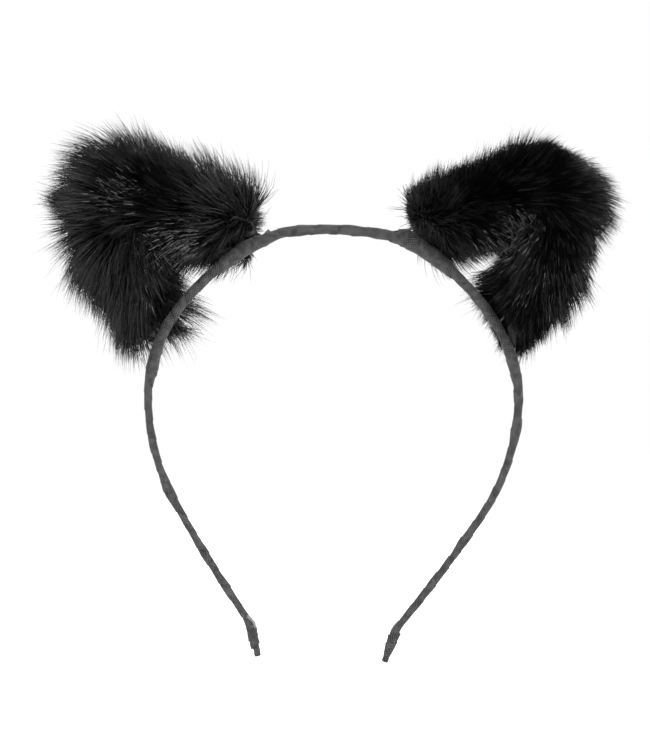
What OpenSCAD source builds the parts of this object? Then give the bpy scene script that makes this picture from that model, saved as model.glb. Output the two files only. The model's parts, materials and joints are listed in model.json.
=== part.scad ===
// Animal ears headband: a spring wire arch wound in cotton tape, with two fur ears on bent wires.
// It stands upright as worn. The origin is on top of the head, under the middle of the crown.
// +X is to the right seen from the front, +Y goes to the back and +Z is up.

/* [Arch, one half] */
// Length of the flat crown, from the middle out
crown_l = 18; // [16:1:20]
// Length of the shoulder that carries the ear
shoulder_l = 44; // [42:1:46]
// Length of the temple, where the arch is widest
temple_l = 29; // [27:1:31]
// Length of the cheek, where the arm turns inwards
cheek_l = 41; // [38:1:44]
// Length of the nearly straight lower arm
arm_l = 47; // [42:1:52]

/* [Wire and tape] */
// Radius of the spring wire in the band
band_wire_r = 0.8; // [0.7:0.05:0.9]
// Outer radius of the tape on the crown and shoulders
tape_r = 1.8; // [1.6:0.05:1.9]
// Outer radius of the tape on the arms
arm_tape_r = 1.45; // [1.3:0.05:1.6]
// Radius of the soft wire in each ear
ear_wire_r = 0.7; // [0.6:0.05:0.8]

/* [Ears] */
// Height of an ear's bend above the line through its two feet
ear_h = 51.5; // [48:0.5:56]
// Place of that bend along the same line, from the inner foot
ear_lean = 23.5; // [20:0.5:27]
// Radius of the fur at the bend
fur_r = 17; // [15:0.5:18]
// Radius of the fur at the feet
fur_end_r = 14; // [12:0.5:15]
// Outer radius of the hide tube inside the fur
hide_r = 4.4; // [4:0.1:5]
// Distance round the band from the middle to the left ear's inner foot
left_ear_at = 31.5; // [29:0.5:33]
// Distance round the band from the middle to the right ear's inner foot
right_ear_at = 27.5; // [27:0.5:31]
// Distance round the band between an ear's two feet
ear_span = 51; // [49:0.5:53]

/* [Hidden] */
$fn = 48;

// Each half of the arch is a chain of arcs: [length, turn towards the head in degrees].
kink_l = 6;
tip_l = 9.5;
half_arch = [
    [crown_l, 9], [10, 19], [shoulder_l, 30], [temple_l, 33.5],
    [cheek_l, 30], [arm_l, 5.5], [kink_l, -20], [tip_l, 2.5],
];
arch_l = crown_l + 10 + shoulder_l + temple_l + cheek_l + arm_l + kink_l + tip_l;

// The two places on each side where the band flexes, and half the gap between its lengths there.
crown_flex_at = 11;
arm_flex_at = 109;
flex_gap = 0.4;

trim = 0.1;              // how far a rod's lengths stop short of the ball between them
ball_proud = 0.03;       // how much thicker that ball is than the rod
past = 0.2;              // how far a cut runs beyond what it cuts
slack = 0.05;            // radial play of a wire in its tape or lashing
end_gap = 0.1;           // between the end of a wire and the tape wound over it
end_wall = 0.5;          // tape wound over the end of a wire
binding_l = 13;          // length of the extra turns at a tip
binding_t = 0.35;        // thickness of those turns
foot_gap = 0.2;          // between the band's tape and an ear's foot
foot_y = tape_r + ear_wire_r + foot_gap;   // the ears' feet lie behind the band
lashing_r = 3.6;
lashing_y = 0.9;         // middle of a lashing, between the band and the foot
inner_lashing_l = 10;
outer_lashing_l = 6;
lashing_lap = 1;         // tape beyond the end of the inner foot
outer_lashing_in = 4.5;   // from the root of the outer leg to the middle of its lashing
foot_clear_r = 7;        // free space round the line through an ear's feet, so that the ear can tilt
hide_t = 0.9;
hair_gap = 0.9;          // between the hide and the inside of the fur, for the seam's thread
bend_r = 8;              // of the padding and hide at the ear's bend
foot_bend_r = 1.8;       // of the wire where a leg meets its foot
thread_r = 0.25;
stitch_l = 3.2;
stitch_pitch = 4;
stitch_lift = 0.02;      // between the hide and the thread
seam_from = 13;          // up each leg
seam_short = 20;         // of the bend
fur_from = 5;            // up each leg
fur_tuck = 0.3;          // how much thinner a leg is than the ball at the bend

// An ear in its own frame: X along the line through its feet from the inner one, Z away from the band.
inner_root = -8;         // where the inner leg meets that line
inner_foot_end = 5.5;
outer_root_past = 2;     // beyond the place where the outer foot's line meets the band
outer_foot_l = 5.5;
function outer_root(side) = chord(side) + outer_root_past;
function outer_foot_end(side) = outer_root(side) + outer_foot_l;
function bend_point() = [ear_lean, ear_h];
function ear_leg(side, inner) = inner ? [inner_root, 0] : [outer_root(side), 0];

// ---------- places along the arch: [x, z, heading below +X] ----------

function ahead(p, l, turn) =
    abs(turn) < 0.001
    ? [p.x + l * cos(p.z), p.y - l * sin(p.z), p.z]
    : let (r = l * 180 / (PI * turn))
      [p.x + r * (sin(p.z + turn) - sin(p.z)), p.y + r * (cos(p.z + turn) - cos(p.z)), p.z + turn];

function place(s, p = [0, tape_r, 0], i = 0) =
    s <= half_arch[i][0] || i == len(half_arch) - 1
    ? ahead(p, s, half_arch[i][1] * s / half_arch[i][0])
    : place(s - half_arch[i][0], ahead(p, half_arch[i][0], half_arch[i][1]), i + 1);

function joint_at(i) = i == 0 ? half_arch[0][0] : joint_at(i - 1) + half_arch[i][0];
function stations(from, to) = [
    from,
    for (i = [0 : len(half_arch) - 2]) if (joint_at(i) > from + trim && joint_at(i) < to - trim) joint_at(i),
    to,
];

// ---------- sweeping a flat outline ----------

// Sweeps the children from place p, over length l, while turning.
module stretch(p, l, turn) {
    if (abs(turn) < 0.001)
        translate([p.x, 0, p.y])
            rotate([0, 90 + p.z, 0])
                linear_extrude(l) children();
    else {
        r = l * 180 / (PI * turn);
        translate([p.x - r * sin(p.z), 0, p.y - r * cos(p.z)])
            rotate([90, 0, 0])
                rotate([0, 0, turn > 0 ? 90 - p.z - turn : 270 - p.z])
                    rotate_extrude(angle = abs(turn))
                        translate([abs(r), 0]) children();
    }
}

// A ball that bridges two lengths of rod where they meet.
module knuckle(p, r) {
    translate([p.x, 0, p.y]) sphere(r = r + ball_proud);
}

// A rod along the right half of the arch.
module along_arch(from, to, r) {
    at = stations(from, to);
    last = len(at) - 2;
    for (i = [0 : last]) {
        a = at[i] + (i > 0 ? trim : 0);
        b = at[i + 1] - (i < last ? trim : 0);
        start = place(a);
        stretch(start, b - a, place(b).z - start.z) circle(r);
        if (i < last) knuckle(place(at[i + 1]), r);
    }
}

function heading(a, b) = atan2(a.y - b.y, b.x - a.x);
function wrapped(angle) = angle > 180 ? angle - 360 : angle < -180 ? angle + 360 : angle;
function corner(points, i) = wrapped(heading(points[i], points[i + 1]) - heading(points[i - 1], points[i]));
function cut_back(points, radii, i) =
    i == 0 || i == len(points) - 1 ? 0 : radii[i] * tan(abs(corner(points, i)) / 2);

// A rod along straight lines between points, with a bend of the given radius at each.
module along_bends(points, radii, r) {
    last = len(points) - 2;
    for (i = [0 : last]) {
        h = heading(points[i], points[i + 1]);
        skip = cut_back(points, radii, i);
        length = norm(points[i + 1] - points[i]) - skip - cut_back(points, radii, i + 1);
        start = ahead([points[i].x, points[i].y, h], skip, 0);
        a = i > 0 ? trim : 0;
        b = i < last ? trim : 0;
        stretch(ahead(start, a, 0), length - a - b, 0) circle(r);
        if (i > 0) {
            turn = corner(points, i);
            arc_l = radii[i] * abs(turn) * PI / 180;
            before = ahead([points[i].x, points[i].y, h - turn], -skip, 0);
            cut = turn * trim / arc_l;
            stretch(ahead(before, trim, cut), arc_l - 2 * trim, turn - 2 * cut) circle(r);
            knuckle(before, r);
            knuckle(start, r);
        }
    }
}

module ring(outer, inner) {
    difference() {
        circle(outer);
        circle(inner);
    }
}

module on_side(side) {
    if (side == "left") mirror([1, 0, 0]) children();
    else children();
}

// ---------- the band ----------

module band_wire(from, to) {
    color("silver") along_arch(from, to, band_wire_r);
}

module band_tape(from, to, r) {
    color("dimgray") difference() {
        along_arch(from, to, r);
        along_arch(from - past, to + past, band_wire_r + slack);
    }
}

module crown(part) {
    half = crown_flex_at - flex_gap;
    start = place(half);
    color(part == "wire" ? "silver" : "dimgray")
        stretch([-start.x, start.y, -start.z], 2 * half, 2 * start.z)
            if (part == "wire") circle(band_wire_r);
            else ring(tape_r, band_wire_r + slack);
}

module shoulder_wire(side) {
    on_side(side) band_wire(crown_flex_at + flex_gap, arm_flex_at - flex_gap);
}

module shoulder_tape(side) {
    on_side(side) band_tape(crown_flex_at + flex_gap, arm_flex_at - flex_gap, tape_r);
}

module arm_wire(side) {
    on_side(side) band_wire(arm_flex_at + flex_gap, arch_l);
}

module arm_tape(side) {
    on_side(side) band_tape(arm_flex_at + flex_gap, arch_l, arm_tape_r);
}

module tip_binding(side) {
    on_side(side) color("dimgray") difference() {
        along_arch(arch_l - binding_l, arch_l + end_gap + end_wall, arm_tape_r + slack + binding_t);
        along_arch(arch_l - binding_l - past, arch_l + end_gap, arm_tape_r + slack);
    }
}

// ---------- where an ear stands ----------

function inner_at(side) = side == "left" ? left_ear_at : right_ear_at;
function inner_foot(side) = place(inner_at(side));
function outer_foot(side) = place(inner_at(side) + ear_span);
function flat(p) = [p.x, p.y];
function chord(side) = norm(flat(outer_foot(side)) - flat(inner_foot(side)));
function chord_heading(side) = heading(flat(inner_foot(side)), flat(outer_foot(side)));

module in_ear_frame(side) {
    foot = inner_foot(side);
    on_side(side)
        translate([foot.x, foot_y, foot.y])
            rotate([0, chord_heading(side), 0]) children();
}

// Everything within reach of the feet's line, which the ear's soft parts keep out of.
module foot_clearance(side) {
    wide = 200;
    translate([-wide / 2, 0, 0]) rotate([0, 90, 0]) cylinder(r = foot_clear_r, h = wide);
    translate([-wide / 2, -wide / 2, -wide]) cube(wide);
}

// A roll of tape round the band and a foot, centred at distance at along the feet's line.
module lashing(side, at, length) {
    s = inner_at(side) + at * ear_span / chord(side);
    middle = place(s);
    h = (middle.z + chord_heading(side)) / 2;
    color("dimgray") difference() {
        on_side(side)
            translate([middle.x, lashing_y, middle.y])
                rotate([0, 90 + h, 0])
                    cylinder(r = lashing_r, h = length, center = true);
        on_side(side) along_arch(s - length, s + length, tape_r + slack);
        in_ear_frame(side)
            translate([at - length, 0, 0])
                rotate([0, 90, 0])
                    cylinder(r = ear_wire_r + slack, h = 2 * length);
    }
}

module inner_lashing(side) {
    lashing(side, inner_foot_end - inner_lashing_l / 2 + lashing_lap, inner_lashing_l);
}

module outer_lashing(side) {
    lashing(side, outer_root(side) + outer_lashing_in, outer_lashing_l);
}

// ---------- an ear ----------

module ear_wire(side) {
    points = [
        [inner_foot_end, 0], ear_leg(side, true), bend_point(), ear_leg(side, false), [outer_foot_end(side), 0],
    ];
    color("silver") in_ear_frame(side)
        along_bends(points, [0, foot_bend_r, bend_r, foot_bend_r, 0], ear_wire_r);
}

// A sleeve round the ear's wire, from foot to foot.
module sleeve(side, outer, inner) {
    legs = [ear_leg(side, true), bend_point(), ear_leg(side, false)];
    difference() {
        along_bends(legs, [0, bend_r, 0], outer);
        along_bends(legs, [0, bend_r, 0], inner);
        foot_clearance(side);
    }
}

module ear_padding(side) {
    color("white") in_ear_frame(side) sleeve(side, hide_r - hide_t - slack, ear_wire_r + slack);
}

module ear_hide(side) {
    color("gray") in_ear_frame(side) sleeve(side, hide_r, hide_r - hide_t);
}

// Overcast stitches along the inside of each leg, where the hide's two edges meet.
module ear_seam(side) {
    color("black") in_ear_frame(side)
        for (inner = [true, false]) {
            root = ear_leg(side, inner);
            h = heading(root, bend_point());
            leg_l = norm(bend_point() - root);
            facing = inner ? 1 : -1;
            for (d = [seam_from : stitch_pitch : leg_l - seam_short]) {
                p = ahead([root.x, root.y, h], d, 0);
                q = ahead([p.x, p.y, h + 90 * facing], hide_r + thread_r + stitch_lift, 0);
                translate([q.x, 0, q.y])
                    rotate([90, 0, 0])
                        cylinder(r = thread_r, h = stitch_l, center = true, $fn = 24);
            }
        }
}

module fur_leg(side, inner) {
    root = ear_leg(side, inner);
    leg_l = norm(bend_point() - root);
    p = ahead([root.x, root.y, heading(root, bend_point())], fur_from, 0);
    translate([p.x, 0, p.y])
        rotate([0, 90 + p.z, 0])
            cylinder(r1 = fur_end_r, r2 = fur_r - fur_tuck, h = leg_l - fur_from);
}

module ear_fur(side) {
    color("black") in_ear_frame(side) difference() {
        union() {
            fur_leg(side, true);
            fur_leg(side, false);
            translate([bend_point().x, 0, bend_point().y]) sphere(r = fur_r);
        }
        along_bends([ear_leg(side, true), bend_point(), ear_leg(side, false)], [0, bend_r, 0], hide_r + hair_gap);
        foot_clearance(side);
    }
}

// ---------- nodes ----------

crown("wire");  // crown_wire
crown("tape");  // crown_tape
for (side = ["left", "right"]) {
    shoulder_wire(side);
    shoulder_tape(side);
    arm_wire(side);
    arm_tape(side);
    tip_binding(side);
    inner_lashing(side);
    outer_lashing(side);
    ear_wire(side);
    ear_padding(side);
    ear_hide(side);
    ear_seam(side);
    ear_fur(side);
}
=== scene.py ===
"""Looks for the animal ears headband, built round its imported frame, in metres."""

import json
import math

import bmesh
import bpy
import numpy as np
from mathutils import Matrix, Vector, kdtree


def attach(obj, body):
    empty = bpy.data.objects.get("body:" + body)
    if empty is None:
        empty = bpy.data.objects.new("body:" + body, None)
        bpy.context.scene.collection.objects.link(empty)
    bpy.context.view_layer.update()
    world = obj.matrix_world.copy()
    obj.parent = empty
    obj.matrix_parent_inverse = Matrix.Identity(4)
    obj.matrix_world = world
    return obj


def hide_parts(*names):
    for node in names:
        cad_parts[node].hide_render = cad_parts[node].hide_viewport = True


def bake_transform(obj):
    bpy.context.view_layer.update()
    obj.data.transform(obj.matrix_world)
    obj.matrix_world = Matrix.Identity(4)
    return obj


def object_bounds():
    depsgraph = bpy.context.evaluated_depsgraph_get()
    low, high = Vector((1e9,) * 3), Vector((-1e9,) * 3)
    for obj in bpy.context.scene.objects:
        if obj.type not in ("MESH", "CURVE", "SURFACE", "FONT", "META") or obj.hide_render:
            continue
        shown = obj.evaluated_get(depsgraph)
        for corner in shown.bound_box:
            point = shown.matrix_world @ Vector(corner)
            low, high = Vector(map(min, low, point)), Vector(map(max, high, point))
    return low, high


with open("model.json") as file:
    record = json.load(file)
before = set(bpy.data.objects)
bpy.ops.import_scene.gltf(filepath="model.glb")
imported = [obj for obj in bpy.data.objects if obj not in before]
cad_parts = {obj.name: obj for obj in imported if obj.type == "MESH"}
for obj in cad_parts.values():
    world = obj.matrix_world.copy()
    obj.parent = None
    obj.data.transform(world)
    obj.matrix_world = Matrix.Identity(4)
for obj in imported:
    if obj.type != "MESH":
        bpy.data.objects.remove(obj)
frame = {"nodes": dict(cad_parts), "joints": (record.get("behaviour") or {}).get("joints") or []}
cad_low, cad_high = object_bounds()
mm = 0.001

# ---------------------------------------------------------------------------
# The studio. The headband is seen square on from the front, a few degrees off
# level, on seamless white paper, under two large soft boxes and a bright room.
# ---------------------------------------------------------------------------


def paint(code):
    """A colour given as a hex string in sRGB, made linear."""
    parts = [int(code[i : i + 2], 16) / 255 for i in (1, 3, 5)]
    return [c / 12.92 if c <= 0.04045 else ((c + 0.055) / 1.055) ** 2.4 for c in parts] + [1]


def new_material(name, **sockets):
    """A material with a Principled shader, its constants set on the shader's own sockets."""
    material = bpy.data.materials.new(name)
    material.use_nodes = True
    shader = material.node_tree.nodes["Principled BSDF"]
    for socket, value in sockets.items():
        shader.inputs[socket.replace("_", " ")].default_value = value
    return material, shader


def add_node(shader_or_node, kind, settings=None, links=None):
    """Adds a node to the same tree, with its settings (attributes or inputs) and its incoming links."""
    tree = shader_or_node.id_data
    node = tree.nodes.new("ShaderNode" + kind)
    for key, value in (settings or {}).items():
        if isinstance(key, str) and hasattr(node, key):
            setattr(node, key, value)
        else:
            node.inputs[key].default_value = value
    for key, source in (links or {}).items():
        tree.links.new(source, node.inputs[key])
    return node


view_centre = Vector((-3.4 * mm, 0, -50.7 * mm))
view_height = 270 * mm
view_distance = 0.9
view_roll = math.radians(-2.67)

lens_data = bpy.data.cameras.new("studio_camera")
lens_data.sensor_width = 36
lens_data.lens = lens_data.sensor_width * view_distance / view_height
camera = bpy.data.objects.new("studio_camera", lens_data)
camera.location = view_centre - Vector((0, view_distance, 0))
camera.rotation_euler = (math.pi / 2, view_roll, 0)
bpy.context.scene.collection.objects.link(camera)
bpy.context.scene.camera = camera

room = bpy.data.worlds.new("white_room")
room.use_nodes = True
room.node_tree.nodes["Background"].inputs["Color"].default_value = (1, 1, 1, 1)
room.node_tree.nodes["Background"].inputs["Strength"].default_value = 1.0
bpy.context.scene.world = room
bpy.context.scene.view_settings.view_transform = "Standard"

for name, place, size, power in (
    ("key_softbox", (0.45, -0.7, 0.75), 0.5, 14),
    ("fill_softbox", (-0.7, -0.6, 0.25), 0.6, 4),
    ("back_softbox", (0.1, 0.8, 0.6), 0.6, 6),
):
    lamp = bpy.data.lights.new(name, "AREA")
    lamp.size = size
    lamp.energy = power
    softbox = bpy.data.objects.new(name, lamp)
    softbox.location = place
    softbox.rotation_euler = (Vector((0, 0, -0.05)) - Vector(place)).to_track_quat("-Z", "Y").to_euler()
    bpy.context.scene.collection.objects.link(softbox)

paper, paper_shader = new_material("matt_white_paper", Roughness=0.9)
paper_grain = add_node(paper_shader, "TexNoise", {"Scale": 1 / (2 * mm), "Detail": 2.0})
paper_tone = add_node(paper_shader, "ValToRGB", None, {"Fac": paper_grain.outputs["Fac"]})
paper_tone.color_ramp.elements[0].color = paint("#fcfcfc")
paper_tone.color_ramp.elements[1].color = paint("#ffffff")
paper.node_tree.links.new(paper_tone.outputs["Color"], paper_shader.inputs["Base Color"])

floor_mesh = bmesh.new()
bmesh.ops.create_grid(floor_mesh, x_segments=1, y_segments=1, size=4)
bmesh.ops.translate(floor_mesh, verts=floor_mesh.verts, vec=(0, 0, cad_low.z - 8 * mm))
floor_data = bpy.data.meshes.new("floor")
floor_mesh.to_mesh(floor_data)
floor_mesh.free()
floor_data.materials.append(paper)
floor = bpy.data.objects.new("floor", floor_data)
bpy.context.scene.collection.objects.link(floor)

# ---------------------------------------------------------------------------
# The band's tape: one strip of woven cotton, wound by hand round the spring wire
# in a long open spiral, each turn half over the last, thicker where turns bunch
# up. The crown's strips and the arms' meet under the inner lashings.
# ---------------------------------------------------------------------------

# Each half of the arch from the crown down: length in mm, and turn towards the head in degrees.
half_arch = ((18, 9), (10, 19), (44, 30), (29, 33.5), (41, 30), (47, 5.5), (6, -20), (9.5, 2.5))
crown_tape_r = 1.8
arm_tape_r = 1.34
arch_step = 0.25


def bent_line(pieces, start_height):
    """Points and headings every arch_step along a chain of arcs, as columns x, z and heading."""
    rows = [(0.0, start_height, 0.0)]
    for length, turn in pieces:
        steps = round(length / arch_step)
        step_turn = turn / steps
        for _ in range(steps):
            x, z, heading = rows[-1]
            middle = math.radians(heading + step_turn / 2)
            x += arch_step * math.cos(middle)
            z -= arch_step * math.sin(middle)
            rows.append((x, z, heading + step_turn))
    return np.array(rows)


arch = bent_line(half_arch, crown_tape_r)
half_length = (len(arch) - 1) * arch_step


def on_arch(s):
    """Point, direction, outward and back unit vectors at distances s along the band from the crown, in mm."""
    along = np.abs(s)
    side = np.where(s < 0, -1.0, 1.0)
    at = np.arange(len(arch)) * arch_step
    beyond = np.maximum(along - half_length, 0)
    heading = np.radians(np.interp(along, at, arch[:, 2]))
    x = np.interp(along, at, arch[:, 0]) + beyond * np.cos(heading)
    z = np.interp(along, at, arch[:, 1]) - beyond * np.sin(heading)
    none = np.zeros_like(x)
    point = np.stack([side * x, none, z], -1)
    direction = np.stack([np.cos(heading), none, -side * np.sin(heading)], -1)
    outward = np.stack([side * np.sin(heading), none, np.cos(heading)], -1)
    back = np.stack([none, none + 1, none], -1)
    return point, direction, outward, back


def ripple(values, seed, wavelength):
    """A smooth uneven signal from about -1 to 1, whose bumps are a wavelength apart."""
    made = np.random.default_rng(seed)
    total = 0
    for octave in range(4):
        phase = made.uniform(0, 2 * np.pi)
        pace = made.uniform(0.7, 1.6)
        total = total + np.sin(2 * np.pi * pace * values / wavelength + phase)
    return total / 4 * 1.4


# Where turns bunch up: distance along the band (negative on the left), height and spread in mm.
bunches = (
    (-93.5, 0.15, 3.0), (-97.5, -0.12, 2.0), (-138, 0.5, 4.0),
    (-121, 0.15, 4.0), (-163, 0.18, 3.0), (-178, 0.2, 3.5),
    (108, 0.55, 4.5), (97, 0.25, 3.0), (153.6, 0.3, 3.5), (131, 0.2, 4.0), (172, 0.22, 3.0),
    (-15, 0.18, 2.5), (4, 0.15, 2.5), (13.5, 0.25, 2.5),
)
# Where along the band it starts to slim down to the arms' radius, over what length, how far the surface
# that is wound lies under the tape's outside, and how uneven it is, all in mm.
slims_from = 84
slims_over = 22
under_turns = 0.2
hand_wound = 0.09


def band_section(s, turn):
    """The surface that the tape lies on: outward and back offsets in mm at distance s and angle turn."""
    share = np.clip((np.abs(s) - slims_from) / slims_over, 0, 1)
    radius = crown_tape_r + (arm_tape_r - crown_tape_r) * share * share * (3 - 2 * share)
    radius = radius - under_turns + hand_wound * ripple(s, 11, 23)
    for at, height, spread in bunches:
        lean = 1 + 0.35 * np.cos(turn - at)
        radius = radius + height * lean * np.exp(-(((s - at) / spread) ** 2))
    return radius * np.cos(turn), radius * np.sin(turn)


def finish_mesh(name, made, material):
    """Turns a bmesh into an object at the origin with one material."""
    data = bpy.data.meshes.new(name)
    made.to_mesh(data)
    made.free()
    data.materials.append(material)
    data.polygons.foreach_set("use_smooth", [True] * len(data.polygons))
    piece = bpy.data.objects.new(name, data)
    bpy.context.scene.collection.objects.link(piece)
    return piece


tape_thickness = 0.28


def wind_tape(
    name, material, on_path, section, start, end, pitch, width, girth, hand=1, first=0.0, seed=1
):
    """Winds a flat strip round a path, each turn over the last. All sizes are in mm.

    on_path gives a point and its three directions, and section the surface that is wound."""
    slope = math.hypot(pitch, girth)
    reach = width * girth / slope
    turns = max((end - start - reach) / pitch, 0.5)
    around, across = 26, 6
    columns = max(int(turns * around), 8)
    made = bmesh.new()
    bmesh.ops.create_grid(made, x_segments=columns, y_segments=across, size=0.5)
    a = np.array([v.co.x + 0.5 for v in made.verts])
    b = np.array([v.co.y for v in made.verts])
    edge = np.abs(b) * 2
    uneven = 0.10 * width * ripple(a * turns, seed, 1.7)
    uneven = uneven + 0.03 * width * edge * ripple(a * turns + b, seed + 1, 0.31)
    s = start + reach / 2 + (end - start - reach) * a + (b * reach) + uneven * np.sin(np.pi * a)
    turn = hand * (2 * np.pi * (turns * a + first) - b * (2 * np.pi * width * pitch / (slope * girth)))
    outward, back = section(s, turn)
    raised = 1.25 * tape_thickness * reach / pitch * (0.5 - b) * np.clip(turns * a / 0.9, 0, 1)
    raised = raised + 0.05 * ripple(a * turns * 3 + 2 * b, seed + 2, 1.1)
    outward, back = outward + raised * np.cos(turn), back + raised * np.sin(turn)
    point, _, out_way, back_way = on_path(s)
    places = (point + outward[:, None] * out_way + back[:, None] * back_way) * mm
    sheet_uv = made.loops.layers.uv.new("tape")
    run = slope * turns
    for face in made.faces:
        for loop in face.loops:
            loop[sheet_uv].uv = ((loop.vert.co.x + 0.5) * run * mm, loop.vert.co.y * width * mm)
    for vert, place in zip(made.verts, places):
        vert.co = place
    made.normal_update()
    made.faces.ensure_lookup_table()
    middle = made.faces[len(made.faces) // 2]
    nearest = middle.verts[0].index
    axis_point = Vector(point[nearest] * mm)
    if middle.normal.dot(middle.calc_center_median() - axis_point) < 0:
        bmesh.ops.reverse_faces(made, faces=made.faces)
    piece = finish_mesh(name, made, material)
    wall = piece.modifiers.new("thickness", "SOLIDIFY")
    wall.thickness = tape_thickness * mm
    wall.offset = -1
    return piece


def weave_period(size):
    """The scale of a Wave Texture, which takes the sine of 20 times the place, for bands size metres apart."""
    wave_factor = 20
    return 2 * math.pi / wave_factor / size


# Black cotton tape, plain woven and slightly faded: dull, with a fine grain across and along it.
# The threads of such tape are about 0.25 mm apart. They are drawn 0.65 mm apart, so that they show.
cotton, cotton_shader = new_material(
    "plain_woven_cotton_tape", Roughness=0.9, Sheen_Weight=0.1, Sheen_Roughness=0.5, Specular_IOR_Level=0.2
)
thread_gap = 0.65 * mm
tape_uv = add_node(cotton_shader, "UVMap", {"uv_map": "tape"})
warp = add_node(
    cotton_shader, "TexWave",
    {"bands_direction": "X", "Scale": weave_period(thread_gap), "Distortion": 1.2, "Detail": 1.0},
    {"Vector": tape_uv.outputs["UV"]},
)
weft = add_node(
    cotton_shader, "TexWave",
    {"bands_direction": "Y", "Scale": weave_period(thread_gap), "Distortion": 1.2, "Detail": 1.0},
    {"Vector": tape_uv.outputs["UV"]},
)
weave = add_node(
    cotton_shader, "Math", {"operation": "MULTIPLY"}, {0: warp.outputs["Fac"], 1: weft.outputs["Fac"]}
)
own_place = add_node(cotton_shader, "TexCoord")
fading = add_node(
    cotton_shader, "TexNoise",
    {"Scale": 1 / (2.2 * mm), "Detail": 5.0},
    {"Vector": own_place.outputs["Object"]},
)
tone = add_node(
    cotton_shader, "Math",
    {"operation": "MULTIPLY_ADD", 1: 0.8},
    {0: weave.outputs[0], 2: fading.outputs["Fac"]},
)
dye = add_node(cotton_shader, "ValToRGB", None, {"Fac": tone.outputs[0]})
dye.color_ramp.elements[0].position = 0.42
dye.color_ramp.elements[0].color = paint("#121213")
dye.color_ramp.elements[1].position = 1.0
dye.color_ramp.elements[1].color = paint("#4c4c4c")
cotton_shader.id_data.links.new(dye.outputs["Color"], cotton_shader.inputs["Base Color"])
relief = add_node(
    cotton_shader, "Bump", {"Strength": 0.5, "Distance": 0.08 * mm}, {"Height": weave.outputs[0]}
)
cotton_shader.id_data.links.new(relief.outputs["Normal"], cotton_shader.inputs["Normal"])

strip_join = {"left": 35.5, "right": 31.5}
strip_overlap = 4.5
strip_pitch = 7.5
strip_width = 9.5
band_girth = 2 * math.pi * 1.6
flex_spread = 8


def joint_named(name):
    """The frame's row for a joint."""
    return next(j for j in frame["joints"] if j["name"] == name)


def across_joint(name, towards_tip):
    """Two points either side of a flex joint's pivot, flex_spread mm each way along towards_tip."""
    pivot = Vector(joint_named(name)["pos_m"])
    return pivot - towards_tip * flex_spread * mm, pivot + towards_tip * flex_spread * mm


for side, sign in (("left", -1), ("right", 1)):
    ends = sorted((-sign * strip_overlap, sign * strip_join[side]))
    crown_strip = wind_tape(
        side + "_crown_tape_strip", cotton, on_arch, band_section, ends[0], ends[1],
        strip_pitch, strip_width, band_girth, seed=21 + sign,
    )
    low, high = across_joint(side + "_crown_flex", Vector((sign * 0.995, 0, -0.096)))
    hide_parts(side + "_shoulder_tape")
    if side == "left":
        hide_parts("crown_tape")
    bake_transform(crown_strip)

    ends = sorted((sign * strip_join[side], sign * (half_length - 2)))
    arm_strip = wind_tape(
        side + "_arm_tape_strip", cotton, on_arch, band_section, ends[0], ends[1],
        strip_pitch, strip_width, band_girth, seed=31 + sign,
    )
    low, high = across_joint(side + "_arm_flex", Vector((-sign * 0.128, 0, -0.992)))
    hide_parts(side + "_arm_tape")
    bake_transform(arm_strip)

# ---------------------------------------------------------------------------
# The ears' bodies: a strip of dyed black mink, rolled fur side out round its
# wadding and bent into a fat V. This is the dense, springy underfur that gives
# each ear its volume; both of its ends pass behind the band.
# ---------------------------------------------------------------------------

# The middle of each ear from its crown end to its cheek end, in mm: how far along the line of its feet,
# and how far away from the band.
ear_middles = {
    "left": ((-3.8, -2.0), (3.6, 13.0), (9.6, 24.4), (15.2, 35.7), (18.6, 43.2), (23.4, 46.8), (28.4, 43.4),
             (33.8, 36.4), (38.6, 28.2), (42.8, 17.8), (48.4, -1.4)),
    "right": ((-8.3, -2.0), (-0.9, 11.5), (5.1, 25.7), (9.3, 36.2), (13.7, 44.2), (19.2, 49.6), (23.0, 47.0),
              (28.2, 39.0), (35.2, 31.0), (39.3, 21.6), (40.6, 10.0), (40.8, -2.0)),
}
# Where the strip's two ends are cut: a place on each cut, and the way it faces.
ear_cuts = {
    "left": (((-7.9, 9.0), (-0.64, -0.77)), ((48.5, 7.3), (0.42, -0.91))),
    "right": (((-11.7, 7.8), (-0.40, -0.92)), ((38.0, 6.8), (-0.25, -0.97))),
}
pile_depth = 4.2
leg_r = {"left": (13.6, 11.5), "right": (13.7, 13.3)}
bend_r = 16.2


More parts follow.
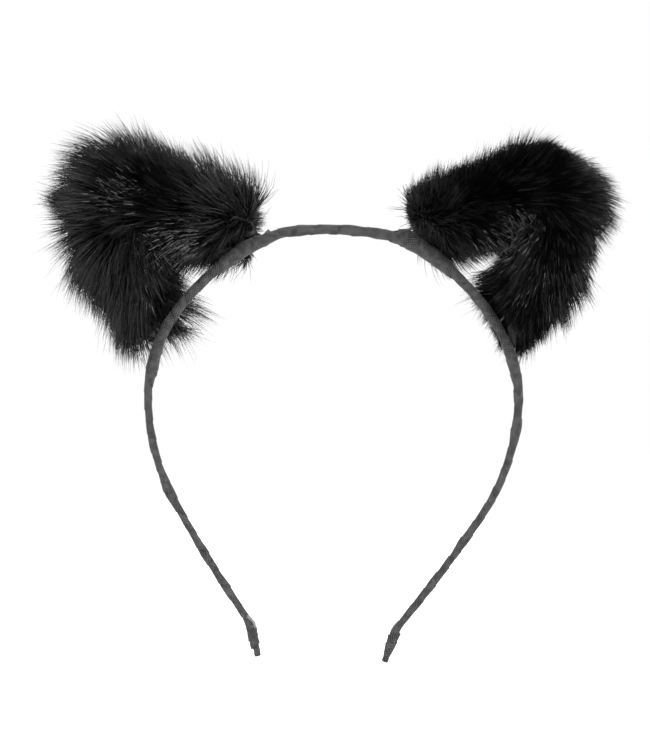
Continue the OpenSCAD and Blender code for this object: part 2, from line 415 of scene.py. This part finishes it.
class Ear:
    """One ear's own frame: along its two feet, away from the band, and back. All in mm."""

    def __init__(self, side):
        hinge = joint_named(side + "_ear_tilt")
        sign = -1 if side == "left" else 1
        axis = np.array(hinge["axis"], float)
        self.sign = sign
        self.foot = np.array(hinge["pos_m"]) / mm
        self.along = axis * (sign if axis[0] > 0 else -sign)
        self.away = sign * np.array([-self.along[2], 0.0, self.along[0]])
        corners = np.array(ear_middles[side])
        runs = np.concatenate([[0], np.cumsum(np.linalg.norm(np.diff(corners, axis=0), axis=1))])
        at = np.arange(-5.0, runs[-1] + 5.0, 1.0)
        raw = np.stack([np.interp(at, runs, corners[:, i]) for i in (0, 1)], -1)
        for end, beyond in ((0, np.minimum(at, 0)), (-1, np.maximum(at - runs[-1], 0))):
            way = corners[1] - corners[0] if end == 0 else corners[-1] - corners[-2]
            raw += beyond[:, None] * way / np.linalg.norm(way)
        kernel = np.ones(11) / 11
        self.line = np.stack([np.convolve(raw[:, i], kernel, "valid") for i in (0, 1)], -1)
        self.s = at[5:-5]
        self.way = np.gradient(self.line, axis=0)
        self.way /= np.linalg.norm(self.way, axis=1)[:, None]
        self.bend_at = runs[5]

    def world(self, flat, back):
        """Points given along and away (flat) and back from the feet's line, in the shared frame, in mm."""
        backwards = back[..., None] * np.array([0, 1.0, 0])
        return self.foot + flat[..., :1] * self.along + flat[..., 1:2] * self.away + backwards

    def local(self, points):
        """The reverse of world: flat and back of points in the shared frame."""
        rest = points - self.foot
        return np.stack([rest @ self.along, rest @ self.away], -1), rest[..., 1]

    def direction(self, flat, back):
        """The same as world, for directions."""
        backwards = back[..., None] * np.array([0, 1.0, 0])
        return flat[..., :1] * self.along + flat[..., 1:2] * self.away + backwards

    def nearest(self, flat):
        """Which sample of the ear's centre line is nearest to each point."""
        gap = ((flat[:, None, :] - self.line[None]) ** 2).sum(-1)
        return gap.argmin(1)


ears = {side: Ear(side) for side in ("left", "right")}
band_samples = {
    side: on_arch(np.arange(8, 105, 0.75) * ears[side].sign)[0] for side in ("left", "right")
}


def gap_to_band(side, points):
    """The distance in mm of each point from the band's centre line, seen from the front."""
    flat = points.reshape(-1, 3)[:, (0, 2)]
    band = band_samples[side][:, (0, 2)]
    found = np.full(len(flat), 1e9)
    for start in range(0, len(band), 16):
        gap = ((flat[:, None, :] - band[None, start : start + 16]) ** 2).sum(-1).min(1)
        found = np.minimum(found, gap)
    return np.sqrt(found).reshape(points.shape[:-1])


def smoothstep(t):
    """Eases from 0 to 1 as t does."""
    t = np.clip(t, 0, 1)
    return t * t * (3 - 2 * t)


def tube_curve(name, paths, radii, sides=None, materials=(), shades=None):
    """A mesh of round or few-sided tubes along paths of points in mm.

    radii holds one row for all paths, or one row for each."""
    data = bpy.data.curves.new(name, "CURVE")
    data.dimensions = "3D"
    data.use_fill_caps = True
    for material in materials:
        data.materials.append(material)
    profile = None
    if sides:
        profile_data = bpy.data.curves.new(name + "_profile", "CURVE")
        ring = profile_data.splines.new("POLY")
        ring.points.add(sides - 1)
        ring.use_cyclic_u = True
        for i, point in enumerate(ring.points):
            turn = 2 * math.pi * i / sides
            point.co = (mm * math.cos(turn), mm * math.sin(turn), 0, 1)
        profile = bpy.data.objects.new(name + "_profile", profile_data)
        data.bevel_mode = "OBJECT"
        data.bevel_object = profile
    else:
        data.bevel_depth = mm
        data.bevel_resolution = 6
    one_each = len(np.shape(radii[0])) > 0
    for i, path in enumerate(paths):
        strand = data.splines.new("POLY")
        strand.points.add(len(path) - 1)
        spots = np.ones((len(path), 4), np.float32)
        spots[:, :3] = path * mm
        strand.points.foreach_set("co", spots.ravel())
        widths = radii[i] if one_each else radii
        strand.points.foreach_set("radius", np.asarray(widths, np.float32))
        if shades is not None:
            strand.material_index = int(shades[i])
    holder = bpy.data.objects.new(name + "_curve", data)
    bpy.context.scene.collection.objects.link(holder)
    made = bpy.data.meshes.new_from_object(holder.evaluated_get(bpy.context.evaluated_depsgraph_get()))
    bpy.data.objects.remove(holder)
    bpy.data.curves.remove(data)
    if profile:
        bpy.data.objects.remove(profile)
    made.name = name
    return made


underfur, underfur_shader = new_material(
    "dyed_mink_underfur", Base_Color=paint("#070707"), Roughness=0.8, Specular_IOR_Level=0.1
)

# How far from the bend the fatter part reaches, the size of the body's faces, how far back its feet pass
# behind the band, and what parts its two legs, along the line of its feet: all in mm.
bend_reach = 40
face_size = 1.3
behind_band_y = 3.0
leg_split = 20

cores = {}
for side, ear in ears.items():
    rise = 1 - smoothstep(np.abs(ear.s - ear.bend_at) / bend_reach)
    at_feet = np.where(ear.s < ear.bend_at, *leg_r[side])
    thickness = at_feet + (bend_r - at_feet) * rise - pile_depth
    data = tube_curve(side + "_ear_body", [ear.world(ear.line, np.zeros(len(ear.s)))], thickness)
    made = bmesh.new()
    made.from_mesh(data)
    bmesh.ops.remove_doubles(made, verts=made.verts, dist=0.01 * mm)
    for at, facing in ear_cuts[side]:
        spot = ear.world(np.array([at]), np.zeros(1))[0] * mm
        normal = ear.direction(np.array([facing]), np.zeros(1))[0]
        same_leg = [
            v for v in made.verts
            if (Vector(v.co) - Vector(spot)).length < 40 * mm
            and ((np.array(v.co) / mm - ear.foot) @ ear.along > leg_split) == (at[0] > leg_split)
        ]
        whole = set(same_leg)
        edges = [e for e in made.edges if all(v in whole for v in e.verts)]
        faces = [f for f in made.faces if all(v in whole for v in f.verts)]
        cut = bmesh.ops.bisect_plane(
            made, geom=same_leg + edges + faces, plane_co=spot, plane_no=normal, clear_outer=True
        )
        bmesh.ops.edgeloop_fill(made, edges=[e for e in cut["geom_cut"] if isinstance(e, bmesh.types.BMEdge)])
    made.to_mesh(data)
    made.free()
    body = bpy.data.objects.new(side + "_ear_body", data)
    bpy.context.scene.collection.objects.link(body)
    remesh = body.modifiers.new("even_faces", "REMESH")
    remesh.mode = "VOXEL"
    remesh.voxel_size = face_size * mm
    evened = bpy.data.meshes.new_from_object(body.evaluated_get(bpy.context.evaluated_depsgraph_get()))
    body.modifiers.clear()
    body.data = evened
    evened.name = side + "_ear_body"
    made = bmesh.new()
    made.from_mesh(evened)
    every_way = {"use_axis_x": True, "use_axis_y": True, "use_axis_z": True}
    for _ in range(3):
        bmesh.ops.smooth_vert(made, verts=made.verts, factor=0.5, **every_way)
    places = np.array([v.co[:] for v in made.verts]) / mm
    gap = gap_to_band(side, places)
    least_y = behind_band_y - 18 * smoothstep((gap - 2.5) / 13)
    low_part = ear.local(places)[0][:, 1] < 20
    raised = np.where(low_part, np.maximum(places[:, 1], least_y), places[:, 1])
    for vert, y in zip(made.verts, raised):
        vert.co.y = y * mm
    for _ in range(2):
        bmesh.ops.smooth_vert(made, verts=made.verts, factor=0.5, **every_way)
    bmesh.ops.recalc_face_normals(made, faces=made.faces)
    made.to_mesh(evened)
    made.free()
    evened.materials.clear()
    evened.materials.append(underfur)
    evened.polygons.foreach_set("use_smooth", [True] * len(evened.polygons))
    cores[side] = body
    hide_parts(side + "_ear_fur")
    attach(body, side + "_ear")

# ---------------------------------------------------------------------------
# The ears' coats, still rooted in the mink's skin: glossy guard hairs over short,
# dense underfur, dyed black. The nap runs from the crown end up over the top and
# down to the cheek end. Here hairs are far fewer than real ones, and thicker.
# ---------------------------------------------------------------------------

hair_inks = [
    new_material("jet_guard_hair", Base_Color=paint("#020202"), Roughness=0.5, Specular_IOR_Level=0.08)[0],
    new_material(
        "soft_black_guard_hair", Base_Color=paint("#060606"), Roughness=0.55, Specular_IOR_Level=0.2
    )[0],
    new_material(
        "grey_black_guard_hair", Base_Color=paint("#303031"), Roughness=0.55, Specular_IOR_Level=0.3
    )[0],
    new_material("glossy_guard_hair", Base_Color=paint("#0a0a0a"), Roughness=0.25, Specular_IOR_Level=0.8)[0],
    # Light grey strands that are painted highlights on the black guard hairs, not grey hairs of their own.
    new_material(
        "silvered_guard_hair", Base_Color=paint("#777777"), Roughness=0.3, Specular_IOR_Level=0.8
    )[0],
]
grey_ink, painted_glint_ink = 2, 4
ink_shares = {"guard": (0.60, 0.22, 0.12, 0.06, 0.0), "under": (0.85, 0.15, 0.0, 0.0, 0.0)}
# Where short light-grey strands are laid on the guard hairs as painted highlights: a middle in the ear's own
# frame, its reach in mm, and its share.
glints = {
    "left": (
        ((26.0, 50.0), 5, 0.5), ((17.5, 47.0), 4.5, 0.4), ((20.0, 20.0), 7, 0.9), ((42.0, 14.0), 7, 0.1),
    ),
    "right": (((20.5, 29.0), 6, 0.75), ((20.0, 18.5), 5.5, 0.7), ((38.0, 18.0), 8, 0.06)),
}


def scatter(data, count, seed):
    """Seeded roots spread evenly over a mesh: places and outward directions in mm."""
    data.calc_loop_triangles()
    corners = np.empty(len(data.loop_triangles) * 3, np.int64)
    data.loop_triangles.foreach_get("vertices", corners)
    corners = corners.reshape(-1, 3)
    places = np.empty(len(data.vertices) * 3)
    data.vertices.foreach_get("co", places)
    places = places.reshape(-1, 3) / mm
    normals = np.empty(len(data.vertices) * 3)
    data.vertex_normals.foreach_get("vector", normals)
    normals = normals.reshape(-1, 3)
    a, b, c = (places[corners[:, i]] for i in (0, 1, 2))
    area = np.linalg.norm(np.cross(b - a, c - a), axis=1)
    made = np.random.default_rng(seed)
    chosen = made.choice(len(corners), count, p=area / area.sum())
    first, second = made.random((2, count))
    over = first + second > 1
    first[over], second[over] = 1 - first[over], 1 - second[over]
    share = np.stack([1 - first - second, first, second], -1)
    spots = (places[corners[chosen]] * share[:, :, None]).sum(1)
    ways = (normals[corners[chosen]] * share[:, :, None]).sum(1)
    return spots, ways / np.linalg.norm(ways, axis=1)[:, None]


def drift(points, seed, wavelength):
    """A smooth, uneven field of three numbers over space, each about -1 to 1."""
    made = np.random.default_rng(seed)
    field = np.zeros(points.shape)
    for _ in range(7):
        wave = made.normal(size=3)
        wave *= 2 * np.pi / wavelength * made.uniform(0.6, 1.6) / np.linalg.norm(wave)
        field += np.sin((points @ wave)[:, None] + made.uniform(0, 2 * np.pi, 3)) * made.normal(size=3)
    return field / 2.6


def unit(ways):
    """Vectors made one long."""
    return ways / np.maximum(np.linalg.norm(ways, axis=-1, keepdims=True), 1e-9)


# Each coat's shortest and longest hairs in mm, how unruly it is, how far the nap trails the bend in mm,
# its share of grey hairs, the length of stray hairs at the cut end, and how soon hairs lie down.
coat = {
    "left": {
        "guard": (11.5, 20.0), "under": (6.5, 8.5), "wild": 0.30, "lag": 13,
        "grey": 0.42, "escape": 6.5, "settle": 0.18, "seed": 51,
    },
    "right": {
        "guard": (9.0, 14.5), "under": (6.5, 8.5), "wild": 0.18, "lag": 8,
        "grey": 0.12, "escape": 11.0, "settle": 0.13, "seed": 61,
    },
}
# How far in mm hairs may stand out of the CAD's front and back, and how far they clear the band.
deepest = 10
band_clearance = 2.7
hair_counts = {"guard": 22000, "under": 24000}
strand_points = {"guard": 4, "under": 3}
strand_radii = {"guard": (0.10, 0.105, 0.065, 0.012), "under": (0.11, 0.11, 0.05)}
glint_radii = (0.13, 0.05)

for side, ear in ears.items():
    for kind in ("under", "guard"):
        wild = coat[side]["wild"]
        seed = coat[side]["seed"] + (5 if kind == "guard" else 0)
        made = np.random.default_rng(seed)
        count = hair_counts[kind] // 1
        roots, normals = scatter(cores[side].data, count, seed)
        flat, back = ear.local(roots)
        near = ear.nearest(flat)
        s = ear.s[near]
        lag = coat[side]["lag"] * smoothstep((s - 33) / 30) * (1 - 0.6 * smoothstep((s - 78) / 25))
        lagged = np.clip(np.round(near - lag).astype(int), 0, len(ear.s) - 1)
        way = ear.way[lagged]
        nap = ear.direction(way, np.zeros(len(way)))
        nap = unit(nap - (nap * normals).sum(1)[:, None] * normals + 1e-6)
        at_bend = np.exp(-(((s - ear.bend_at) / 15) ** 2))
        lift = np.radians(78 - 20 * smoothstep((s - 8) / 30) * (1 - 0.55 * at_bend))
        if kind == "under":
            lift = lift * 0.95
        here = ear.way[near]
        radial = unit(ear.direction(flat - ear.line[near], back))
        facing = (normals * ear.direction(here, np.zeros(len(here)))).sum(1)
        inner_cut = smoothstep((-facing - 0.45) / 0.35) * (s < 30)
        outer_cut = smoothstep((facing - 0.45) / 0.35) * (s > 80)
        lift = lift + 0.25 * made.normal(size=count) * (wild + 0.3)
        base = np.cos(lift)[:, None] * nap + np.sin(lift)[:, None] * normals
        base = base * (1 - inner_cut[:, None]) + inner_cut[:, None] * unit(0.6 * radial + 0.8 * normals)
        tousled = base + wild * 0.9 * drift(roots, seed % 10 + 3, 17)
        base = unit(tousled + 0.10 * made.normal(size=(count, 3)))
        low, high = coat[side][kind]
        length = low + (high - low) * made.random(count) ** 1.3
        length = length * (1 - 0.68 * inner_cut) * (1 - 0.2 * outer_cut)
        length = length * (1 + 0.14 * drift(roots, seed % 10 + 9, 22)[:, 0])
        beyond_band = (flat[:, 1] < 3) & (s < 40)
        length = np.where(beyond_band, 0.6 * length, length)
        if kind == "guard":
            length = np.where(made.random(count) < 0.06, length * 1.2, length)
            escaped = (inner_cut > 0.5) & (made.random(count) < 0.03)
            length = np.where(escaped, coat[side]["escape"], length)
        steps = strand_points[kind] - 1
        paths = np.empty((count, steps + 1, 3))
        paths[:, 0] = roots - 0.4 * normals
        way_now = base
        for i in range(steps):
            paths[:, i + 1] = paths[:, i] + (length / steps)[:, None] * way_now
            settle = coat[side]["settle"] * (1 - inner_cut[:, None])
            way_now = unit(way_now + settle * nap - settle * 0.3 * normals + np.array([0, 0, -0.10]))
        groups = made.choice(count, count // 14, replace=False)
        tree = kdtree.KDTree(len(groups))
        for i, member in enumerate(groups):
            tree.insert(roots[member], i)
        tree.balance()
        leader = groups[np.array([tree.find(root)[1] for root in roots])]
        pull = made.uniform(0.1, 0.5, count) * (1.0 if kind == "guard" else 0.6)
        for i in range(1, steps + 1):
            weight = (pull * (i / steps) ** 1.4)[:, None]
            paths[:, i] += weight * (paths[leader, i] - paths[:, i])
        band_gap = gap_to_band(side, paths)
        hides_band = ((band_gap < band_clearance) & (paths[..., 1] < 2.0)).any(1)
        too_deep = paths[..., 1].min(1) < cad_low.y / mm - deepest
        too_deep |= paths[..., 1].max(1) > cad_high.y / mm + deepest
        thinned = (inner_cut >= 0.5) | beyond_band
        keep = ~hides_band & ~too_deep & (~thinned | (made.random(count) < 0.4))
        shade = made.choice(len(hair_inks), count, p=ink_shares[kind])
        shade = np.where((inner_cut > 0.6) & (made.random(count) < 0.6), grey_ink, shade)
        if kind == "guard":
            tips, tip_back = ear.local(paths[:, 2])
            lit = np.zeros(count, bool)
            for middle, reach, share in glints[side]:
                off_middle = ((tips - middle) ** 2).sum(1)
                near_glint = np.exp(-off_middle / reach**2) * (tip_back < 0)
                lit |= made.random(count) < share * near_glint
            greyer = (s > ear.bend_at) & (made.random(count) < coat[side]["grey"])
            shade = np.where(greyer, grey_ink, shade)
        shade = np.where((s < 24) & (made.random(count) < 0.35), grey_ink, shade)
        thick = np.array(strand_radii[kind])[None] * made.uniform(0.8, 1.25, count)[:, None]
        for part, chosen in (
            ("crown_leg", s < 44), ("top", (s >= 44) & (s < 70)), ("cheek_leg", s >= 70)
        ):
            rows = np.flatnonzero(chosen & keep)
            name = f"{side}_ear_{kind}_hair_{part}"
            strands, widths, inks = list(paths[rows]), list(thick[rows]), list(shade[rows])
            if kind == "guard":
                # Short light-grey strands over the outer half of each lit guard hair: painted highlights.
                for row in np.flatnonzero(chosen & keep & lit):
                    share = made.uniform(0.35, 0.8)
                    reach = paths[row, 2] - paths[row, 1]
                    start = paths[row, 1] + share * reach
                    raised = start + 0.12 * normals[row]
                    strands.append(np.array([raised, raised + made.uniform(0.35, 0.8) * reach]))
                    widths.append(np.array(glint_radii))
                    inks.append(painted_glint_ink)
            data = tube_curve(name, strands, widths, 3, hair_inks, inks)
            hair = bpy.data.objects.new(name, data)
            bpy.context.scene.collection.objects.link(hair)
            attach(hair, side + "_ear")

# ---------------------------------------------------------------------------
# The lashings: the same tape, wound to and fro over the band and the foot of an
# ear's wire behind it. The inner ones bulge most where the foot comes in; the
# outer ones are slim and half hidden by the fur.
# ---------------------------------------------------------------------------


def swelling(s, rows):
    """Outward middle and half-width, back middle and half-width in mm, from rows of s and those four."""
    rows = np.array(rows)
    return [np.interp(np.abs(s), rows[:, 0], rows[:, i]) for i in (1, 2, 3, 4)]


lashing_shapes = {
    "left_inner": (
        (20, -0.2, 1.35, 0.0, 1.8), (24, -0.5, 1.4, 0.5, 2.4), (28, -0.3, 1.7, 1.2, 3.2),
        (34, 0.3, 2.2, 1.2, 3.4), (40, 0.3, 2.25, 1.1, 3.0), (46, 0.0, 1.95, 0.3, 2.2),
        (50, 0.0, 1.8, 0.0, 1.85),
    ),
    "right_inner": (
        (16, 0.0, 1.75, 0.0, 1.8), (19, 0.1, 2.1, 0.5, 2.4), (22.5, 0.8, 2.9, 1.2, 3.3),
        (26, 0.8, 2.9, 1.3, 3.4), (31, 0.4, 2.5, 1.2, 3.2), (37, 0.2, 2.3, 0.9, 2.8),
        (43, 0.0, 2.0, 0.2, 2.1), (48, 0.0, 1.8, 0.0, 1.85),
    ),
    "left_outer": (
        (77, 0.0, 1.55, 0.0, 1.75), (84, -0.4, 1.45, 1.0, 2.7), (87, -0.5, 1.4, 1.2, 2.8),
        (91, -0.7, 1.4, 1.1, 2.8), (94, -0.7, 1.4, 0.7, 2.3), (97, -0.4, 1.2, 0.2, 1.6),
        (101, 0.0, 1.05, 0.0, 1.3),
    ),
    "right_outer": (
        (73, 0.0, 1.55, 0.0, 1.75), (80, -0.2, 1.5, 1.0, 2.7), (83, -0.3, 1.45, 1.2, 2.8),
        (87, -0.2, 1.45, 1.1, 2.8), (90, -0.1, 1.4, 0.7, 2.3), (93, 0.0, 1.25, 0.2, 1.6),
        (97, 0.0, 1.15, 0.0, 1.35),
    ),
}

for name, rows in lashing_shapes.items():
    side = name.split("_")[0]
    sign = ears[side].sign

    def lashing_section(s, turn, rows=rows):
        """The surface that a lashing is wound on."""
        out_middle, out_half, back_middle, back_half = swelling(s, rows)
        rough = 1 + 0.035 * ripple(s, 17, 9)
        return out_middle + out_half * rough * np.cos(turn), back_middle + back_half * rough * np.sin(turn)

    for layer, (hand, pitch, seed) in enumerate(((1, 4.6, 41), (-1, 6.2, 42))):
        ends = sorted((sign * (rows[0][0] + 2 * layer), sign * (rows[-1][0] - 2 * layer)))
        turns = wind_tape(
            f"{name}_lashing_{'under' if layer == 0 else 'over'}", cotton, on_arch,
            lambda s, turn, lift=0.25 * layer: tuple(
                part + lift * trig
                for part, trig in zip(lashing_section(s, turn), (np.cos(turn), np.sin(turn)))
            ),
            ends[0], ends[1], pitch, 7.5, 2 * math.pi * 2.6, hand=hand, first=0.35 * layer, seed=seed + sign,
        )
        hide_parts(name + "_lashing")
        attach(turns, side + "_shoulder")

# ---------------------------------------------------------------------------
# The ears' roots: the soft annealed wire in each ear, whose feet lie behind the
# band on the line that the ear tilts about, and at each foot a few turns of
# cotton tape that close the cut end of the fur. They turn with the ear.
# ---------------------------------------------------------------------------


def patterned_material(name, dark, light, grain, rough, metal=0.0):
    """A material whose colour wanders between two tones, with patches grain metres across."""
    material, shader = new_material(name, Roughness=rough, Metallic=metal)
    place = add_node(shader, "TexCoord")
    patches = add_node(
        shader, "TexNoise", {"Scale": 1 / grain, "Detail": 3.0}, {"Vector": place.outputs["Object"]}
    )
    tones = add_node(shader, "ValToRGB", None, {"Fac": patches.outputs["Fac"]})
    tones.color_ramp.elements[0].position = 0.35
    tones.color_ramp.elements[0].color = paint(dark)
    tones.color_ramp.elements[1].position = 0.65
    tones.color_ramp.elements[1].color = paint(light)
    material.node_tree.links.new(tones.outputs["Color"], shader.inputs["Base Color"])
    return material


soft_steel = patterned_material("annealed_soft_steel_wire", "#77797b", "#8f9193", 2 * mm, 0.45, 1.0)

soft_wire_r = 0.6

for side, ear in ears.items():
    feet = []
    for root_at, end_at in ((-3.5, -6.8), (52.1, 54.5)):
        lying = np.stack([np.linspace(root_at, end_at, 8), np.zeros(8)], -1)
        feet.append(ear.world(lying, np.zeros(8)))
    rising = ear.world(ear.line[4:-4:2], np.zeros(len(ear.line[4:-4:2])))
    core_path = np.concatenate([feet[0][::-1], rising, feet[1]])
    core = tube_curve(
        side + "_ear_core_wire", [core_path], np.full(len(core_path), soft_wire_r), materials=[soft_steel]
    )
    core_wire = bpy.data.objects.new(core.name, core)
    bpy.context.scene.collection.objects.link(core_wire)
    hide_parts(side + "_ear_wire")
    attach(core_wire, side + "_ear")
    for end, root, aim in (("inner", feet[0][0], ear.line[14]), ("outer", feet[1][0], ear.line[-14])):
        along_leg = unit(ear.world(aim[None], np.zeros(1))[0] - root)
        across_leg = unit(np.cross(along_leg, (0.0, 1.0, 0.0)))

        def up_leg(s, root=root, along_leg=along_leg, across_leg=across_leg):
            """Point and three directions at distances s up the leg from its root, in mm."""
            full = np.ones_like(s)[:, None]
            point = root + s[:, None] * along_leg
            return point, full * along_leg, full * across_leg, full * np.array([0.0, 1.0, 0.0])

        def root_section(s, turn):
            """The surface that the root's turns lie on."""
            radius = np.interp(s, (-1.2, 1.5, 5.0, 9.0, 13.0), (0.9, 1.0, 1.3, 1.8, 2.2))
            radius = radius * (1 + 0.04 * ripple(s, 19, 6))
            return radius * np.cos(turn), radius * np.sin(turn)

        rise = np.linspace(0.5, 12.0, 12)
        plug_r = np.interp(rise, (0.5, 2, 5, 9, 12), (0.6, 0.7, 1.0, 1.6, 2.0))
        plug = tube_curve(f"{side}_ear_{end}_root_folds", [up_leg(rise)[0]], plug_r, materials=[cotton])
        plug_piece = bpy.data.objects.new(plug.name, plug)
        bpy.context.scene.collection.objects.link(plug_piece)
        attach(plug_piece, side + "_ear")
        root_turns = wind_tape(
            f"{side}_ear_{end}_root_tape", cotton, up_leg, root_section, 1.2, 13.0,
            3.6, 5.0, 2 * math.pi * 1.7, seed=71 + ear.sign,
        )
        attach(root_turns, side + "_ear")

# ---------------------------------------------------------------------------
# The tips: the cotton tape's last turns are folded back over the wire's end and
# wound down again, which leaves a lump at the kink and a squared, flattened end.
# ---------------------------------------------------------------------------

# Rows of distance from the crown, radius, and how far the inner side bulges, in mm.
tip_shapes = {
    "left": (
        (191.5, 1.15, 0.0), (193.2, 1.15, 0.4), (195.2, 1.15, 1.0),
        (196.4, 1.15, 0.45), (200, 1.1, 0.25), (205.4, 0.95, 0.0),
    ),
    "right": (
        (190.5, 1.15, 0.0), (192.2, 1.15, 0.45), (195.2, 1.2, 0.5),
        (199, 1.1, 0.35), (203, 1.0, 0.1), (205.4, 0.9, 0.0),
    ),
}
for side, sign in (("left", -1), ("right", 1)):

    def tip_section(s, turn, rows=np.array(tip_shapes[side])):
        """The surface that the tip's turns lie on."""
        along = np.abs(s)
        radius = np.interp(along, rows[:, 0], rows[:, 1]) + 0.05 * ripple(s, 23, 5)
        radius = radius + np.interp(along, rows[:, 0], rows[:, 2]) * np.clip(-np.cos(turn), 0, 1)
        return radius * np.cos(turn), radius * 0.95 * np.sin(turn)

    ends = sorted((sign * 191.3, sign * (half_length + 0.7)))
    binding = wind_tape(
        side + "_tip_turns", cotton, on_arch, tip_section, ends[0], ends[1],
        3.0, 6.5, 2 * math.pi * 1.7, hand=-1, seed=81 + sign,
    )
    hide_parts(side + "_tip_binding")
    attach(binding, side + "_arm")

    folded = bmesh.new()
    bmesh.ops.create_cube(folded, size=2)
    bmesh.ops.bevel(
        folded, geom=folded.edges[:], offset=0.5, segments=3, affect="EDGES", profile=0.5, material=-1
    )
    bmesh.ops.scale(folded, verts=folded.verts, vec=Vector((1.25, 1.15, 1.0)) * mm)
    point, way, _, _ = (part[0] for part in on_arch(np.array([sign * (half_length - 0.1)])))
    lean = Vector(way).to_track_quat("Z", "Y").to_matrix()
    bmesh.ops.transform(folded, matrix=lean.to_4x4(), verts=folded.verts)
    bmesh.ops.translate(folded, verts=folded.verts, vec=Vector(point * mm))
    end_uv = folded.loops.layers.uv.new("tape")
    for face in folded.faces:
        for loop in face.loops:
            loop[end_uv].uv = (loop.vert.co.x + loop.vert.co.y, loop.vert.co.z)
    folded_end = finish_mesh(side + "_tip_folded_end", folded, cotton)
    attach(folded_end, side + "_arm")

# ---------------------------------------------------------------------------
# Loose ends: a few cotton threads frayed out of the tape at each tip, and one
# mink hair caught in the tape half way up the left arm.
# ---------------------------------------------------------------------------

frayed, _ = new_material("frayed_cotton_thread", Base_Color=paint("#8c8c8c"), Roughness=0.9)
# Where each bunch starts along the band, its points (outward, back, towards the tip), how many threads,
# their radius and how far they spread, in mm.
loose = {
    "left_tip_threads": (
        -193.0, ((-0.7, -1.3, -2.4), (-1.6, -1.4, -0.8), (-1.9, -1.4, 0.6), (-1.7, -1.2, 1.9)),
        22, 0.12, 0.35,
    ),
    "right_tip_threads": (
        192.0, ((-1.2, -0.3, -2.2), (-1.5, -0.6, -1.2), (-1.7, -0.7, 0.2), (-1.6, -0.4, 1.6)),
        7, 0.12, 0.15,
    ),
    "left_arm_stray_hair": (
        -157.6, ((-1.0, -0.3, 0.0), (-3.2, -0.6, 0.7), (-5.2, -0.8, 1.0), (-6.6, -0.9, 1.1)),
        1, 0.10, 0.0,
    ),
}
for name, (at, offsets, count, thick, spread) in loose.items():
    made = np.random.default_rng(91)
    point, way, outward, back = (part[0] for part in on_arch(np.array([at])))
    tipwards = way * math.copysign(1, at)
    threads = []
    for _ in range(count):
        shaken = np.array(offsets) + made.normal(size=(len(offsets), 3)) * spread
        threads.append(point + shaken[:, :1] * outward + shaken[:, 1:2] * back + shaken[:, 2:] * tipwards)
    data = tube_curve(name, threads, np.full(len(offsets), thick), 3, [frayed if count > 1 else hair_inks[1]])
    loose_threads = bpy.data.objects.new(name, data)
    bpy.context.scene.collection.objects.link(loose_threads)
    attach(loose_threads, name.split("_")[0] + "_arm")

# ---------------------------------------------------------------------------
# What the tape and fur hide: the band's drawn spring steel wire, bent cold, and in
# each ear a sleeve of cotton wadding, the dyed skin rolled round it, and its seam,
# overcast in waxed thread. These are the CAD's own shapes, given a finish here.
# ---------------------------------------------------------------------------

hidden_finishes = {
    "shoulder_wire": patterned_material("drawn_spring_steel", "#8d8f92", "#a9abae", 1.5 * mm, 0.32, 1.0),
    "ear_padding": patterned_material("cotton_wadding", "#d9d6cd", "#efede6", 1.2 * mm, 0.95),
    "ear_hide": patterned_material("dyed_back_of_mink_skin", "#131212", "#1f1d1c", 0.8 * mm, 0.9),
    "ear_seam": patterned_material("waxed_black_thread", "#151515", "#262626", 0.5 * mm, 0.55),
}
hidden_finishes["arm_wire"] = hidden_finishes["crown_wire"] = hidden_finishes["shoulder_wire"]
for name, node in frame["nodes"].items():
    for ending, finish in hidden_finishes.items():
        if name.endswith(ending):
            node.data.materials.clear()
            node.data.materials.append(finish)
